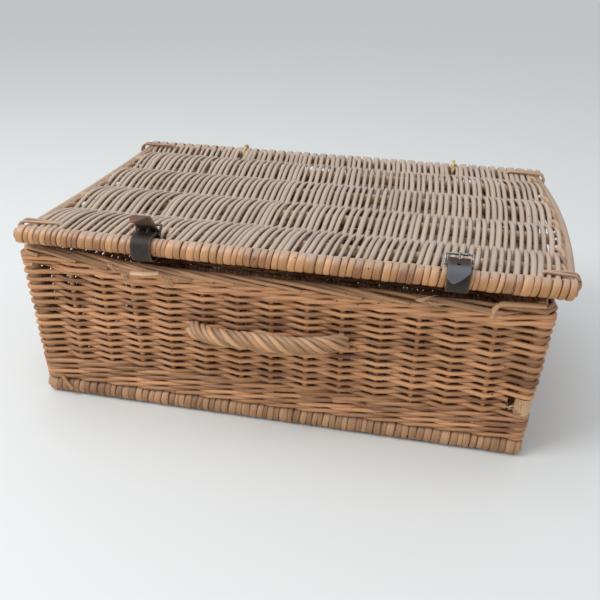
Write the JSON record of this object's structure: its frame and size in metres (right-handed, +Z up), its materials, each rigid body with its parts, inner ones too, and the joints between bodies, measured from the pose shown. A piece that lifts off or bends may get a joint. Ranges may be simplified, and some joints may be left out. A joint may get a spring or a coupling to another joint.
{
  "type": "laundry hamper",
  "caption": "Flat rectangular willow hamper with a hinged woven lid, a roped bow handle on the front and two buckled leather straps round the lid's front roll.",
  "frame": {"origin": "middle of the base's flat underside", "axes": "+X along the hamper to the right seen from the front, -Y the front with the handle and straps, +Z up"},
  "size_m": [0.5418, 0.3798, 0.223],
  "materials": {
    "wall_willow": "aged buff willow rods, dry satin",
    "border_willow": "aged willow rods, dry and broken in places",
    "base_willow": "worn willow rods, dull",
    "lid_willow": "weathered grey-buff willow rods",
    "stick_willow": "round peeled willow sticks",
    "tie_willow": "thin pale willow rods",
    "handle_willow": "twisted willow rods, worn with wear",
    "strap_leather": "old dark brown bridle leather, cracked edges",
    "buckle_metal": "tarnished wire, bright on worn edges"
  },
  "bodies": {
    "basket": {"base_outer_sticks": "stick_willow", "base_inner_sticks": "stick_willow", "base_weave": "base_willow", "base_end_rods": "base_willow", "corner_posts": "stick_willow", "front_stakes": "stick_willow", "back_stakes": "stick_willow", "left_stakes": "stick_willow", "right_stakes": "stick_willow", "bottom_wale": "wall_willow", "top_wale": "wall_willow", "front_weave": "wall_willow", "back_weave": "wall_willow", "left_weave": "wall_willow", "right_weave": "wall_willow", "border": "border_willow", "left_hinge_loop": "tie_willow", "right_hinge_loop": "tie_willow", "handle_core": "stick_willow", "handle_rope": "handle_willow"},
    "lid": {"lid_front_stick": "stick_willow", "lid_back_stick": "stick_willow", "lid_inner_sticks": "stick_willow", "lid_weave": "lid_willow", "lid_left_edge_rod": "lid_willow", "lid_right_edge_rod": "lid_willow", "front_left_tie": "tie_willow", "front_right_tie": "tie_willow", "back_left_tie": "tie_willow", "back_right_tie": "tie_willow"},
    "left_strap": {"left_strap": "strap_leather"},
    "left_buckle": {"left_buckle": "buckle_metal"},
    "left_prong": {"left_prong": "buckle_metal"},
    "right_strap": {"right_strap": "strap_leather"},
    "right_buckle": {"right_buckle": "buckle_metal"},
    "right_prong": {"right_prong": "buckle_metal"}
  },
  "joints": [
    {"name": "lid_hinge", "type": "hinge", "parent": "basket", "child": "lid", "pos_m": [0, 0.1647, 0.192], "axis": [-1, 0, 0], "range_deg": [0, 200]},
    {"name": "left_strap_turn", "type": "hinge", "parent": "lid", "child": "left_strap", "pos_m": [-0.122, -0.1753, 0.192], "axis": [1, 0, 0], "range_deg": [-8, 30]},
    {"name": "left_buckle_swing", "type": "hinge", "parent": "left_strap", "child": "left_buckle", "pos_m": [-0.122, -0.166, 0.2013], "axis": [1, 0, 0], "range_deg": [-5, 6]},
    {"name": "left_prong_swing", "type": "hinge", "parent": "left_buckle", "child": "left_prong", "pos_m": [-0.122, -0.166, 0.2013], "axis": [1, 0, 0], "range_deg": [0, 5]},
    {"name": "right_strap_turn", "type": "hinge", "parent": "lid", "child": "right_strap", "pos_m": [0.171, -0.1753, 0.192], "axis": [1, 0, 0], "range_deg": [-8, 45]},
    {"name": "right_buckle_swing", "type": "hinge", "parent": "right_strap", "child": "right_buckle", "pos_m": [0.171, -0.166, 0.2013], "axis": [1, 0, 0], "range_deg": [-5, 6]},
    {"name": "right_prong_swing", "type": "hinge", "parent": "right_buckle", "child": "right_prong", "pos_m": [0.171, -0.166, 0.2013], "axis": [1, 0, 0], "range_deg": [0, 5]}
  ]
}
